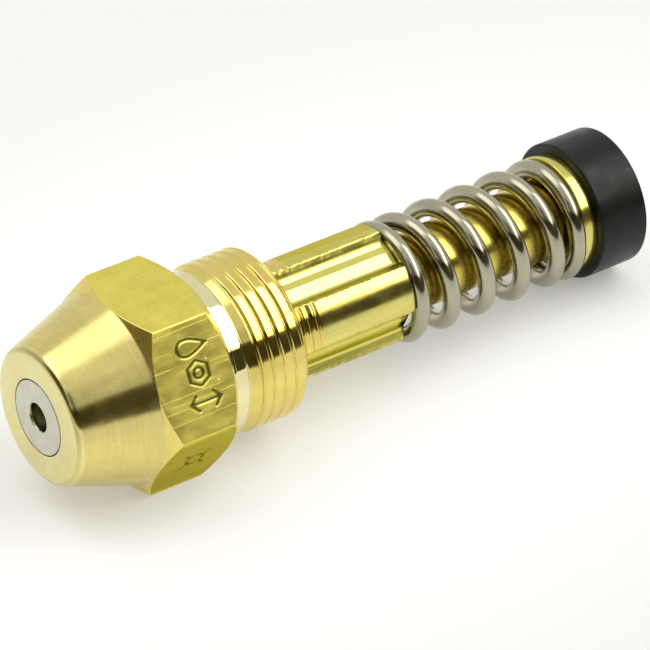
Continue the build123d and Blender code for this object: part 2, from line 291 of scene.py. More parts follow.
def metal(name, colour, stain, roughness, layers, stains=0.0, along=0.0, streaks=None, edge=CLEAR_EDGE):
    """Bare metal: colour and roughness wander a little, and fine marks come from bumps.

    layers is a function of the tree that gives the bump layers. stains is the strength of the
    smudges in the stain colour. along stretches highlights along the axis, as turned marks do.
    streaks is (noise scale, strength) for darker lines in the colour. edge tints what the metal
    reflects at a grazing angle.
    """
    material, tree, shader = new_material(name)
    wander = noise(tree, 260, detail=4.0, rough=0.6)
    smudge = remap(tree, noise(tree, (700, 420, 700), detail=5.0, rough=0.65), 0.42, 0.68)
    darker = tuple(c * WANDER for c in colour)
    tint = mix_colour(tree, remap(tree, wander, 0.35, 0.65), colour, darker)
    tint = mix_colour(tree, maths(tree, "MULTIPLY", smudge, stains), tint, stain)
    if streaks:
        scale, strength = streaks
        line = remap(tree, noise(tree, scale, detail=3.0, rough=0.65), 0.38, 0.64, 1.0, 1.0 - strength)
        tint = mix_colour(tree, 1.0, tint, line, "MULTIPLY")
    mark = node(tree, "Attribute", attribute_name="mark").outputs["Fac"]
    # the mark attribute darkens the colour: real oxide and nicks, and painted shade, painted shadow and
    # painted dark reflection from the other marks
    tint = mix_colour(tree, maths(tree, "MULTIPLY", mark, INK_COVER), tint, INK_AND_SHADE)
    fill(tree, shader.inputs["Base Color"], tint)
    shader.inputs["Metallic"].default_value = 1.0
    shader.inputs["Specular Tint"].default_value = (*edge, 1)
    rough = remap(tree, noise(tree, (900, 500, 900), detail=4.0), 0.3, 0.7,
                  roughness * ROUGH_LOW, roughness * ROUGH_HIGH)
    fill(tree, shader.inputs["Roughness"], rough)
    if along:
        shader.inputs["Anisotropic"].default_value = along
        shader.inputs["Anisotropic Rotation"].default_value = 0.25
        tangent = node(tree, "Tangent", direction_type="RADIAL", axis="Y")
        fill(tree, shader.inputs["Tangent"], tangent.outputs[0])
    fill(tree, shader.inputs["Normal"], bump(tree, *layers(tree)))
    return material


def turned_marks(tree):
    """Fine rings left by the lathe, with a few small pits."""
    rings = noise(tree, (90, 9000, 90), detail=3.0, rough=0.7)
    broad = noise(tree, (40, 1400, 40), detail=2.0)
    wavy = noise(tree, (420, 300, 420), detail=2.0)
    handled = noise(tree, (2600, 1500, 2600), detail=3.0, rough=0.6)
    return [(rings, 2.2e-6), (broad, 4.0e-6), (wavy, 8e-6), (handled, 2.4e-6),
            (pits(tree, 0.0011, 0.00012, 0.16), -18e-6)]


def face_marks(tree):
    """The smooth, slightly wavy surface of a faced end."""
    wavy = noise(tree, 500, detail=2.0)
    return [(noise(tree, (2600, 400, 2600), detail=3.0), 1.0e-6), (wavy, 5e-6)]


def milled_marks(tree):
    """Lines along the axis from the hexagon bar, with grain, scratches and pits."""
    lines = noise(tree, (8200, 160, 8200), detail=3.0, rough=0.6)
    long_lines = remap(tree, noise(tree, (3400, 60, 3400), detail=1.0), 0.60, 0.64)
    grain = noise(tree, (11000, 7000, 11000), detail=3.0, rough=0.6)
    cross = noise(tree, (240, 6200, 240), detail=2.0)
    return [(lines, 3.0e-6), (long_lines, -6e-6), (grain, 8e-6), (cross, 4.4e-6),
            (pits(tree, 0.0009, 0.00014, 0.2), -22e-6)]


def polished_marks(tree):
    """Hardly visible rings on a smooth neck."""
    return [(noise(tree, (60, 7000, 60), detail=2.0), 0.25e-6), (noise(tree, 500), 2.0e-6)]


def thread_marks(tree):
    """Fine rings and a slightly uneven surface."""
    return [(noise(tree, (120, 9000, 120), detail=3.0, rough=0.7), 1.2e-6),
            (noise(tree, 700, detail=3.0), 7e-6)]


def barrel_marks(tree):
    """Drawn and broached surfaces: faint lines along the axis."""
    return [(noise(tree, (3600, 60, 3600), detail=3.0), 1.2e-6),
            (noise(tree, (800, 350, 800), detail=3.0), 5e-6),
            (pits(tree, 0.0008, 0.00010, 0.12), -14e-6)]


def wire_marks(tree):
    """The uneven skin of drawn wire."""
    return [(noise(tree, 2400, detail=3.0), 1.2e-6),
            (noise(tree, 600, detail=3.0), 5e-6)]


def lapped_marks(tree):
    """The even grain of a lapped surface."""
    return [(noise(tree, 5200, detail=3.0), 1.4e-6)]


# the body, from its nose to its thread
brass_turned = metal("brass_turned", BRASS_SOFT, STAIN, 0.23, turned_marks, stains=0.08, along=0.78,
                     streaks=((240, 7000, 240), 0.07))
brass_face = metal("brass_face", BRASS_PALE, BRASS, 0.24, face_marks, stains=0.4)
brass_edge = metal("brass_edge", (0.80, 0.72, 0.30), STAIN, 0.13, face_marks, stains=0.12)
brass_milled = metal("brass_milled", BRASS_LEMON, STAIN, 0.36, milled_marks, stains=0.05,
                     streaks=((9000, 2200, 9000), 0.09), edge=DULL_EDGE)
brass_chamfer = metal("brass_chamfer", BRASS, STAIN, 0.20, turned_marks, stains=0.10)
brass_neck = metal("brass_neck", (0.85, 0.80, 0.46), BRASS, 0.04, polished_marks, stains=0.2)
brass_thread = metal("brass_thread", (0.80, 0.66, 0.20), BRASS_DEEP, 0.10, thread_marks, stains=0.45)
# painted shade: near-black brass in the bore round the disc and inside the body behind it
brass_gap_shade = metal("brass_gap_shade", (0.16, 0.12, 0.03), INK_AND_SHADE, 0.35, face_marks)

# the locking screw
brass_barrel = metal("brass_barrel", (0.77, 0.70, 0.215), BRASS_DEEP, 0.17, barrel_marks, stains=0.35,
                     streaks=((2600, 90, 2600), 0.12), edge=DULL_EDGE)
brass_flute = metal("brass_flute", (0.80, 0.75, 0.20), BRASS_DEEP, 0.085, barrel_marks, stains=0.25,
                    edge=DULL_EDGE)
# the flute walls are rougher, as cut; their darker brass is painted shade
brass_wall_shade = metal("brass_wall_shade", (0.60, 0.56, 0.13), BRASS_DEEP, 0.27, barrel_marks, stains=0.25,
                   streaks=((4200, 60, 4200), 0.42))

# the return tube, its collar and the insert
brass_tube = metal("brass_tube", (0.73, 0.585, 0.13), BRASS_DEEP, 0.24, barrel_marks, stains=0.3)
brass_collar = metal("brass_collar", (0.70, 0.64, 0.175), BRASS_DEEP, 0.17, thread_marks, stains=0.3)
brass_inner = metal("brass_inner", BRASS, BRASS_DEEP, 0.25, turned_marks, stains=0.2)

# steel
# the spring's steel grey is tinted yellow: painted reflection of the brass round it
spring_steel = metal("spring_steel", (0.435, 0.415, 0.305), (0.30, 0.27, 0.16), 0.155, wire_marks,
                     stains=0.16)
disc_steel = metal("disc_steel", (0.665, 0.655, 0.545), (0.60, 0.585, 0.47), 0.42, lapped_marks, stains=0.3)
# painted shade: darker steel in the disc's recess and on its side in the gap round it
disc_bore_shade = metal("disc_bore_shade", (0.38, 0.37, 0.26), (0.24, 0.23, 0.14), 0.20, lapped_marks)

RUBBER_DARK = (0.0016, 0.0019, 0.0013)
RUBBER_BLOOM = (0.0044, 0.0050, 0.0036)
DUST = (0.09, 0.09, 0.08)


def rubber(name, roughness):
    """Moulded black rubber with a faint grey bloom and a few specks of dust."""
    material, tree, shader = new_material(name)
    bloom = remap(tree, noise(tree, 350, detail=5.0, rough=0.6), 0.35, 0.7)
    tint = mix_colour(tree, bloom, RUBBER_DARK, RUBBER_BLOOM)
    tint = mix_colour(tree, pits(tree, 0.0016, 0.00011, 0.22), tint, DUST)
    fill(tree, shader.inputs["Base Color"], tint)
    shader.inputs["Specular IOR Level"].default_value = 0.27
    rough = remap(tree, noise(tree, 600, detail=3.0), 0.3, 0.7, roughness * 0.85, roughness * 1.2)
    fill(tree, shader.inputs["Roughness"], rough)
    layers = [(noise(tree, 5000), 2.0e-6), (noise(tree, 900), 6e-6)]
    fill(tree, shader.inputs["Normal"], bump(tree, *layers))
    return material


seal_rubber = rubber("seal_rubber", 0.36)
oring_rubber = rubber("oring_rubber", 0.30)


# ---- nozzle body ------------------------------------------------------------------------
DISC_BORE_R = 3.22
DISC_SEAT_Y = -14.20
PACK_BORE_R = 4.25
PACK_REAR_Y = -6.70
SCREW_BORE_R = 5.01
NOSE_FRONT_R = 5.72
NOSE_REAR_R = 7.95
NOSE_REAR_Y = -9.10
NOSE_EDGE = 0.57             # how far the rounding of the front edge reaches
CORNER_FRONT_Y = -8.10       # where the hexagon's corners begin and end
CORNER_REAR_Y = -3.20
REAR_SLOPE = tan(radians(40))
BORE_EDGE = 0.06             # chamfer round the disc's bore
SCREW_BORE_EDGE = 0.30       # and at the mouth of the locking screw's
BODY_ARC = 6                 # points on each rounded corner
SEAT_R = 7.60
SEAT_Y = -1.80
RING_R = 7.30
RING_Y = -1.42
NECK_R = 6.95
NECK_END_Y = -0.32
UNDERCUT_R = 6.62
UNDERCUT_Y = -0.22
LEAD_R = 6.80                # where the thread's lead-in cone begins
LEAD_Y = -0.08
THREAD_R = 7.144
THREAD_Y = 0.95              # where the lead-in cone meets the crests
THREAD_END_Y = 5.02
THREAD_END_R = 6.72
THREAD_PITCH = 25.4 / 24
GROOVE_WIDTH = 0.42
GROOVE_DEPTH = 0.24
GROOVE_Y = 1.88              # centre of the first whole groove, at GROOVE_ANGLE
GROOVE_ANGLE = 45.0

ENGRAVING_WIDTH = 0.27
ENGRAVING_DEPTH = 0.06
ENGRAVING_EDGE = 0.07
CORNER_RUN = 1.2             # degrees either side of a hexagon corner with finer columns
CORNER_SOFTNESS = 0.006      # how round the hexagon's corners are
UPPER_FACING = 30.0          # directions of the two engraved flats
LOWER_FACING = -30.0
LOWER_FLAT_SHADE = 0.34               # of the lower one: painted shade that makes it darker than the others
LOWER_FLAT_SHADE_REACH = 28.0         # degrees either side of its middle, and how softly it ends
LOWER_FLAT_SHADE_FADE = 2.0
EDGE_MARK_AND_SHADE = 0.40             # darkness of the line round the front edge, a turning mark darkened further as painted dark reflection, and how much it varies round the edge
EDGE_MARK_AND_SHADE_CHANGE = 0.25


def segment_distance(u, v, start, end):
    """Distance from points to one straight line."""
    du, dv = end[0] - start[0], end[1] - start[1]
    t = np.clip(((u - start[0]) * du + (v - start[1]) * dv) / (du * du + dv * dv), 0, 1)
    return np.hypot(u - start[0] - t * du, v - start[1] - t * dv)


def line_distance(u, v, points):
    """Distance from points to a line through several places."""
    return np.min([segment_distance(u, v, a, b) for a, b in zip(points, points[1:])], axis=0)


def outline(u, v, radius, points, start=0.0):
    """Closed regular outline round a centre."""
    turn = np.linspace(0, 2 * pi, points + 1) + start
    return list(zip(u + radius * np.cos(turn), v + radius * np.sin(turn)))


def drop_outline(u, v, width, height, count=28):
    """Closed outline of an oil drop whose tip points towards the thread."""
    turn = np.linspace(0, 2 * pi, count)
    across = u + width * np.sin(turn) * np.sin(turn / 2) ** 1.4
    return list(zip(across, v + height * np.cos(turn)))


def spray_flat_marks(u, v):
    """Distance to the marks on the upper flat: a drop, a nut and a two-headed arrow."""
    middle, drop_u, nut_u, shaft_u = -5.15, 2.55, 0.35, -1.95
    drop = line_distance(u, v, drop_outline(drop_u, middle, 0.95, 1.35))
    nut = line_distance(u, v, outline(nut_u, middle, 1.05, 6))
    hole = line_distance(u, v, outline(nut_u, middle, 0.42, 16))
    front, rear, head = middle - 1.40, middle + 1.40, 0.60
    shaft = line_distance(u, v, [(shaft_u, front), (shaft_u, rear)])
    heads = [line_distance(u, v, [(shaft_u - head, end + turn * head), (shaft_u, end),
                                  (shaft_u + head, end + turn * head)])
             for end, turn in ((front, 1), (rear, -1))]
    return np.min([drop, nut, hole, shaft, *heads], axis=0)


def ring_flat_marks(u, v):
    """Distance to the mark on the lower flat: a ring with four ticks and a dot."""
    centre_u, centre_v = 0.15, -5.55
    ring = line_distance(u, v, outline(centre_u, centre_v, 0.75, 24))
    dot = np.hypot(u - centre_u, v - centre_v)
    inner = outline(centre_u, centre_v, 1.10, 4, pi / 4)
    outer = outline(centre_u, centre_v, 1.55, 4, pi / 4)
    ticks = [line_distance(u, v, [start, end]) for start, end in zip(inner, outer)]
    return np.min([ring, dot, *ticks], axis=0)


ENGRAVED_FLATS = ((UPPER_FACING, spray_flat_marks), (LOWER_FACING, ring_flat_marks))
FLAT_REACH = 27              # degrees either side of a flat's middle that its marks may take


def body_angles():
    """Angles of the columns: finer across the engraved marks and at the hexagon's corners."""
    run = CORNER_RUN         # the corners are at 0, 60, ... 300 degrees
    spans = [(-56.0, -43.0, 10), (-43.0, -15.0, 46), (-15.0, -run, 8), (-run, run, 8)]
    spans += [(run, 8.0, 4), (8.0, 54.0, 84), (54.0, 60.0 - run, 3), (60.0 - run, 60.0 + run, 8)]
    for corner in (120.0, 180.0, 240.0, 300.0):
        spans += [(corner - 60.0 + run, corner - run, 32), (corner - run, corner + run, 8)]
    spans += [(300.0 + run, 304.0, 2)]
    return np.radians(steps(*spans))


def hexagon_radius(angles):
    """Distance from the axis to the hexagon's side, with slightly rounded corners."""
    normals = np.radians(np.arange(6) * 60 + 30)
    facing = np.sort(np.cos(angles[:, None] - normals), axis=1)
    best, second = facing[:, -1], facing[:, -2]
    return APOTHEM / ((best + second + np.sqrt((best - second) ** 2 + CORNER_SOFTNESS ** 2)) / 2)


def body_line(side):
    """Corners of the body's section: name, y, r, reach of the rounding, points up to the next.

    side is the hexagon's distance from the axis, for each column.
    """
    front_rise = (CORNER_FRONT_Y - NOSE_REAR_Y) / (HEX_CORNER_R - NOSE_REAR_R)
    front_y = NOSE_REAR_Y + (side - NOSE_REAR_R) * front_rise
    rear_y = CORNER_REAR_Y + (HEX_CORNER_R - side) * REAR_SLOPE
    chamfer_end_y = CORNER_REAR_Y + (HEX_CORNER_R - SEAT_R) * REAR_SLOPE
    return [
        ("disc bore", FACE_Y + BORE_EDGE, DISC_BORE_R, 0.0, 1),
        ("face inside", FACE_Y, DISC_BORE_R + BORE_EDGE, 0.0, 10),
        ("face edge", FACE_Y, NOSE_FRONT_R, NOSE_EDGE, 26),
        ("nose rear", NOSE_REAR_Y, NOSE_REAR_R, 0.09, 6),
        ("flat front", front_y, side, 0.05, 72),
        ("flat rear", rear_y, side, 0.07, 8),
        ("chamfer end", chamfer_end_y, SEAT_R, 0.04, 1),
        ("seat outside", SEAT_Y, SEAT_R - 0.06, 0.0, 1),
        ("seat inside", SEAT_Y, RING_R, 0.0, 2),
        ("ring outside", RING_Y, RING_R, 0.06, 1),
        ("ring inside", RING_Y, NECK_R, 0.0, 5),
        ("neck end", NECK_END_Y, NECK_R, 0.04, 1),
        ("undercut", UNDERCUT_Y, UNDERCUT_R, 0.02, 2),
        ("lead-in", LEAD_Y, LEAD_R, 0.03, 14),
        ("thread", THREAD_Y, THREAD_R, 0.06, 76),
        ("thread end", THREAD_END_Y, THREAD_R, 0.05, 6),
        ("rear outside", BODY_REAR_Y, THREAD_END_R, 0.05, 3),
        ("rear inside", BODY_REAR_Y, SCREW_BORE_R + SCREW_BORE_EDGE, 0.0, 1),
        ("screw bore", BODY_REAR_Y - SCREW_BORE_EDGE, SCREW_BORE_R, 0.0, 6),
        ("screw bore end", PACK_REAR_Y, SCREW_BORE_R, 0.0, 1),
        ("pack bore", PACK_REAR_Y, PACK_BORE_R, 0.0, 5),
        ("disc seat outside", DISC_SEAT_Y, PACK_BORE_R, 0.0, 1),
        ("disc seat inside", DISC_SEAT_Y, DISC_BORE_R, 0.0, 2),
    ]


def body_sections(angles):
    """One closed section per column. Returns them and the row of each named corner."""
    line = body_line(hexagon_radius(angles))
    names, ys, rs, reach, between = zip(*line)
    columns = [
        np.stack([np.broadcast_to(y, len(angles)), np.broadcast_to(r, len(angles))], axis=-1)
        for y, r in zip(ys + ys[:1], rs + rs[:1])]
    sections = rounded(np.stack(columns, axis=1), reach + (0,), between, BODY_ARC)[:, :-1]
    corner_rows = {}
    row = 0
    for name, corner_reach, inside in zip(names, reach, between):
        row += BODY_ARC if corner_reach > 0 else 1
        corner_rows[name] = row - 1
        row += inside
    return sections, corner_rows


def cut_thread(angles, sections, rows):
    """Cut one helical groove into the rows of the thread."""
    y = sections[:, rows, 0]
    lead = THREAD_PITCH * (np.degrees(angles)[:, None] - GROOVE_ANGLE) / 360
    phase = (y - GROOVE_Y + lead) / THREAD_PITCH
    off = np.abs(phase - np.round(phase)) * THREAD_PITCH
    depth = GROOVE_DEPTH * np.clip(1 - off / (GROOVE_WIDTH / 2), 0, 1) ** 1.35
    floor_r = THREAD_R - depth
    sections[:, rows, 1] = np.minimum(sections[:, rows, 1], floor_r)


def engrave(angles, sections, rows):
    """Press the marks into their flats. Returns each vertex's depth, from 0 to 1."""
    worn = np.zeros(sections.shape[:2])
    for facing, marks in ENGRAVED_FLATS:
        off = (np.degrees(angles) - facing + 180) % 360 - 180
        columns = np.where(np.abs(off) < FLAT_REACH)[0]
        block = np.ix_(columns, rows)
        u = (APOTHEM * np.tan(np.radians(off[columns])))[:, None]
        v = sections[:, :, 0][block]
        distance = marks(np.broadcast_to(u, v.shape), v)
        inside = smooth_step((ENGRAVING_WIDTH / 2 + ENGRAVING_EDGE / 2 - distance) / ENGRAVING_EDGE)
        radius = sections[:, :, 1]
        radius[block] -= inside * ENGRAVING_DEPTH / np.cos(np.radians(off[columns]))[:, None]
        worn[block] = inside
    return worn


def body_looks(rows, row):
    """The number of the material for each row of the section, and the materials."""
    materials = [brass_turned, brass_face, brass_milled, brass_neck, brass_thread, brass_chamfer, brass_gap_shade,
                 brass_edge]
    edge = row["face edge"]
    looks = [
        (0, brass_gap_shade), (1, brass_face), (edge - 4, brass_edge), (edge, brass_turned),
        (row["nose rear"], brass_chamfer), (row["flat front"] - 2, brass_milled),
        (row["flat rear"] - 2, brass_chamfer), (row["seat inside"], brass_neck),
        (row["lead-in"], brass_thread), (row["rear outside"], brass_turned),
        (row["disc seat outside"], brass_gap_shade),
    ]
    zone = np.zeros(rows, int)
    for first, material in looks:
        zone[first:] = materials.index(material)
    return zone, materials


def build_nozzle_body():
    """The body with its thread, its engraved marks, painted shade on its lower flat, and a line round its
    front edge that is partly a turning mark and partly painted dark reflection.
    """
    angles = body_angles()
    sections, row = body_sections(angles)
    columns, rows = sections.shape[:2]
    flat_rows = np.arange(row["flat front"], row["flat rear"])
    thread_rows = np.arange(row["undercut"], row["rear outside"] + 1)
    cut_thread(angles, sections, thread_rows)
    marks = engrave(angles, sections, flat_rows)
    # painted shade: the lower engraved flat is darkened across its width
    off = np.abs(np.degrees(angles) - LOWER_FACING)
    below = smooth_step((LOWER_FLAT_SHADE_REACH - off) / LOWER_FLAT_SHADE_FADE)
    marks[:, flat_rows] = np.maximum(marks[:, flat_rows], LOWER_FLAT_SHADE * below[:, None])
    edge = row["face edge"]
    # painted dark reflection: a darker line inside the rounding of the front edge, stronger at some angles
    # round it
    marks[:, edge - 3:edge - 1] = (EDGE_MARK_AND_SHADE + EDGE_MARK_AND_SHADE_CHANGE * np.sin(angles * 2 - 0.6))[:, None]
    zone, materials = body_looks(rows, row)
    return mesh_piece(
        "nozzle_body_detail", turned_vertices(angles, sections).reshape(-1, 3), ring_faces(columns, rows),
        "nozzle", materials, np.tile(zone, columns), marks)


nozzle_body = build_nozzle_body()
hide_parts("nozzle_body")


# ---- locking screw ----------------------------------------------------------------------
SCREW_PITCH = 0.75
SCREW_GROOVE_DEPTH = 0.20
SCREW_THREAD_FADE = 0.25     # over this length the groove runs out
SCREW_THREAD_END_Y = 8.30
SCREW_THREAD_Y = 5.30        # where the thread comes out of the body
GUIDE_BORE_R = 3.33
GUIDE_BORE_EDGE = 0.2
HEAD_BORE_R = 3.70
HEAD_STOP_Y = 1.95
FLUTES = 4
FLUTE_ANGLE = 70.0
FLUTE_FLOOR_H = 4.10
FLUTE_FLOOR_HALF = 1.18
FLUTE_WALL = tan(radians(39))
FLUTE_CORNER = 0.16          # how far the rounding at the foot of a wall reaches
FLUTE_END_Y = 16.25          # from here the floor falls away towards the rear
FLUTE_END_RUN = 1.3
FLUTE_END_DEPTH = 0.09
FLOOR_RIDGES = ((-1.00, 0.24, 0.10), (0.72, 1.10, 0.08))    # start, end and softness of what leans up
RIDGE_SLOPE = 0.19
FLOOR_SLOPE = 0.10           # of the rest, the other way
floor_edge = np.degrees(atan(FLUTE_FLOOR_HALF / FLUTE_FLOOR_H))
RIM_EDGE = 21.7              # half the angle of a flute at the outer radius
RIM_RUN = 1.0                # degrees either side of a rim with finer columns
RIM_SOFTNESS = 0.09
RIM_SHADE_DARKNESS = 0.22          # of the painted shade line along a rim
RIM_SHADE_WIDTH = 0.7         # in degrees
WALL_MARGIN = 0.6            # degrees inside the rim where the wall's material begins
NICKS = 22                   # along each rim
NICK_WIDTH = 1.7             # in degrees round the screw
NICK_DEPTH = 0.05
NICK_DARKNESS = 0.9
REAR_EDGE = 0.15             # reach of the rear edge's rounding
REAR_EDGE_DEPTH = 0.12


def soft_less(a, b, softness):
    """The lesser of two values, rounded where they cross."""
    return (a + b - np.sqrt((a - b) ** 2 + softness ** 2)) / 2


def flute_offset(angles):
    """Degrees from the middle of the nearest flute."""
    step = 360 / FLUTES
    return (np.degrees(angles) - FLUTE_ANGLE + step / 2) % step - step / 2


def screw_angles():
    """Angles of the columns: finer across the flutes than on the lands between them."""
    outer, inner = RIM_EDGE + RIM_RUN, RIM_EDGE - RIM_RUN
    spans = []
    for number in range(FLUTES):
        middle = FLUTE_ANGLE + 360 / FLUTES * number
        spans += [
            (middle - outer, middle - inner, 7), (middle - inner, middle - floor_edge, 9),
            (middle - floor_edge, middle + floor_edge, 24), (middle + floor_edge, middle + inner, 9),
            (middle + inner, middle + outer, 7), (middle + outer, middle + 360 / FLUTES - outer, 16),
        ]
    return np.radians(steps(*spans))


def screw_rows():
    """Stations of the rows: finer along the thread and at the rear edge."""
    fluted_y, edge_y = SCREW_THREAD_END_Y + 0.3, SCREW_REAR_Y - REAR_EDGE
    rows_y = steps((SCREW_FRONT_Y, SCREW_THREAD_Y, 5), (SCREW_THREAD_Y, fluted_y, 66),
                   (fluted_y, edge_y, 96), (edge_y, SCREW_REAR_Y, 3))
    return np.append(rows_y, SCREW_REAR_Y)


def floor_waves(across):
    """Height of the flute's floor: the cutter left shallow ridges along it."""
    line = np.linspace(-1.6, 1.6, 321)
    lean = sum(smooth_step((line - start) / soft) * smooth_step((end - line) / soft)
               for start, end, soft in FLOOR_RIDGES)
    height = np.cumsum(RIDGE_SLOPE * lean - FLOOR_SLOPE) * (line[1] - line[0])
    return np.interp(across, line, height - height.mean())


def flute_outline(angles, rows_y):
    """Radius of the fluted outline for each angle and row: flat floors between leaning walls."""
    turn = np.radians(flute_offset(angles))
    across = FLUTE_FLOOR_H * np.tan(turn)
    side_t = np.append(0, np.linspace(FLUTE_FLOOR_HALF - FLUTE_CORNER, 2.4, 80))
    past = (side_t - FLUTE_FLOOR_HALF) / FLUTE_CORNER
    rise = np.where(past > 1, past, (past + 1) ** 2 / 4) * (side_t > 0)
    side_h = FLUTE_FLOOR_H + FLUTE_WALL * FLUTE_CORNER * rise
    height = np.interp(np.abs(turn), np.arctan2(side_t, side_h), side_h) + floor_waves(across)
    fall = FLUTE_END_DEPTH * smooth_step((rows_y - FLUTE_END_Y) / FLUTE_END_RUN) * (rows_y > FLUTE_END_Y)
    return (height[:, None] - fall[None]) / np.cos(turn)[:, None]


def threaded_outline(angles, rows_y):
    """Radius of the round outline for each angle and row: the thread, and the barrel behind it."""
    end = np.clip((rows_y - (SCREW_REAR_Y - REAR_EDGE)) / REAR_EDGE, 0, 1)
    turned = SCREW_R - REAR_EDGE_DEPTH * (1 - np.sqrt(1 - end ** 2))
    phase = rows_y[None] / SCREW_PITCH + np.degrees(angles)[:, None] / 360
    ridge = np.abs(phase - np.round(phase)) * 2
    fade = smooth_step((SCREW_THREAD_END_Y - rows_y) / SCREW_THREAD_FADE)[None]
    groove = np.clip(1.25 * (1 - ridge) - 0.25, 0, 1)      # a fifth of the pitch is flat crest
    return turned[None] - SCREW_GROOVE_DEPTH * fade * groove


def rim_nicks_and_shade(angles, rows_y):
    """Nicks along the flutes' rims, from 0 to 1, and the painted shade line that follows each rim."""
    rng = np.random.default_rng(7)
    wear = np.zeros((len(angles), len(rows_y)))
    rim_shade_line = np.zeros(len(angles))
    on_barrel = (rows_y > SCREW_THREAD_END_Y)[None]
    for number in range(FLUTES):
        for side in (-1, 1):
            rim = FLUTE_ANGLE + 360 / FLUTES * number + side * RIM_EDGE
            apart = (np.degrees(angles) - rim + 180) % 360 - 180
            near = np.exp(-(apart / NICK_WIDTH) ** 2)
            # painted shade: a fine dark line along each rim
            rim_shade_line = np.maximum(rim_shade_line, RIM_SHADE_DARKNESS * np.exp(-(apart / RIM_SHADE_WIDTH) ** 2))
            for _ in range(NICKS):
                centre = rng.uniform(SCREW_THREAD_END_Y, SCREW_REAR_Y - 0.3)
                length = rng.uniform(0.04, 0.16)
                nick = np.exp(-((rows_y - centre) / length) ** 2) * rng.uniform(0.1, 1.0)
                wear = np.maximum(wear, near[:, None] * nick[None] * on_barrel)
    return wear, rim_shade_line[:, None] * on_barrel


def build_locking_screw():
    """The screw with its thread, its flutes, the nicks along them, painted shade along the rims and painted
    shadow at the rear edge.
    """
    angles, rows_y = screw_angles(), screw_rows()
    wear, rim_shade_line = rim_nicks_and_shade(angles, rows_y)
    radius = soft_less(threaded_outline(angles, rows_y), flute_outline(angles, rows_y), RIM_SOFTNESS)
    radius -= NICK_DEPTH * wear
    # painted shadow along the rear edge, where the spring's first coil sits against it
    rear_shadow_line = np.exp(-((rows_y - SCREW_REAR_Y) / REAR_EDGE) ** 2)[None]
    marks = np.maximum(np.maximum(NICK_DARKNESS * wear, rim_shade_line), rear_shadow_line)
    outer = np.stack([np.broadcast_to(rows_y, radius.shape), radius], axis=-1)
    bore = rounded(
        [(SCREW_REAR_Y, GUIDE_BORE_R + GUIDE_BORE_EDGE), (SCREW_REAR_Y - GUIDE_BORE_EDGE, GUIDE_BORE_R),
         (HEAD_STOP_Y, GUIDE_BORE_R), (HEAD_STOP_Y, HEAD_BORE_R), (SCREW_FRONT_Y, HEAD_BORE_R)],
        [0, 0, 0, 0, 0], [1, 6, 1, 4])
    count = len(angles)
    sections = np.concatenate([outer, np.broadcast_to(bore, (count,) + bore.shape)], axis=1)
    marks = np.pad(marks, ((0, 0), (0, len(bore))))
    rows = sections.shape[1]

    materials = [brass_barrel, brass_thread, brass_flute, brass_wall_shade]
    off = np.abs(flute_offset(angles))
    zone = np.zeros((count, rows), int)
    zone[:, :np.searchsorted(rows_y, SCREW_THREAD_END_Y)] = materials.index(brass_thread)
    zone[off < RIM_EDGE - WALL_MARGIN, :len(rows_y)] = materials.index(brass_wall_shade)
    zone[off < floor_edge, :len(rows_y)] = materials.index(brass_flute)
    return mesh_piece(
        "locking_screw_detail", turned_vertices(angles, sections).reshape(-1, 3), ring_faces(count, rows),
        "nozzle", materials, zone.ravel(), marks)


locking_screw = build_locking_screw()
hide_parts("locking_screw")


# ---- orifice disc -----------------------------------------------------------------------
DISC_R = 3.15
DISC_FLANGE_R = 4.20
DISC_REAR_Y = -13.10
RECESS_R = 1.20
RECESS_CHAMFER = 0.17
RECESS_SIDE_Y = FACE_Y + 1.30    # from here the recess narrows
RECESS_FLOOR_Y = FACE_Y + 1.75
ORIFICE_R = 0.25
CHAMBER_R = 1.40                 # swirl chamber behind the orifice
CHAMBER_DEPTH = 0.80


def disc_look(y, r):
    """The number of the material: 1, the darker steel of painted shade, in the recess and in the gap round
    the disc; 0 elsewhere.
    """
    in_recess = r < RECESS_R + 0.04
    in_gap = r > DISC_R - 0.02 and y > FACE_Y + 0.06
    return int(in_recess or in_gap)


orifice_disc = lathe(
    "orifice_disc_detail",
    [(DISC_REAR_Y, CHAMBER_R), (DISC_REAR_Y - CHAMBER_DEPTH, ORIFICE_R), (RECESS_FLOOR_Y, ORIFICE_R),
     (RECESS_SIDE_Y, RECESS_R - 0.10), (FACE_Y + RECESS_CHAMFER, RECESS_R - 0.01),
     (FACE_Y, RECESS_R + 0.09), (FACE_Y, DISC_R), (DISC_SEAT_Y, DISC_R), (DISC_SEAT_Y, DISC_FLANGE_R),
     (DISC_REAR_Y, DISC_FLANGE_R)],
    [0, 0, 0, 0.12, 0.08, 0.04, 0.05, 0, 0, 0], [2, 1, 4, 8, 2, 10, 3, 2, 2, 3],
    "nozzle", [disc_steel, disc_bore_shade], columns=160, pick=disc_look)
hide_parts("orifice_disc")


# ---- spring -----------------------------------------------------------------------------
WIRE_R = 0.75
MEAN_R = 4.53
TURNS = 5.9
CLOSED_TURNS = 0.6
RAMP_TURNS = 0.4
CLOSED_PITCH = 1.00
START_ANGLE = 221.0
FRONT_GROUND = 0.26          # wire centre's distance from the front ground end
REAR_GROUND = 0.05           # and from the rear one
DROP = 0.24                  # the coil lies this far below the axis
WIRE_END = 0.90              # the wire's cut ends are a little smaller
WIRE_AROUND = 28             # points round the wire
STATIONS_PER_TURN = 84

END_GAP = 0.02               # between the spring's rear end and the collar
spring_length = COLLAR_Y - END_GAP - SCREW_REAR_Y
end_turns = 2 * (CLOSED_TURNS + RAMP_TURNS / 2)
open_turns = TURNS - end_turns
open_pitch = (spring_length - FRONT_GROUND - REAR_GROUND - end_turns * CLOSED_PITCH) / open_turns


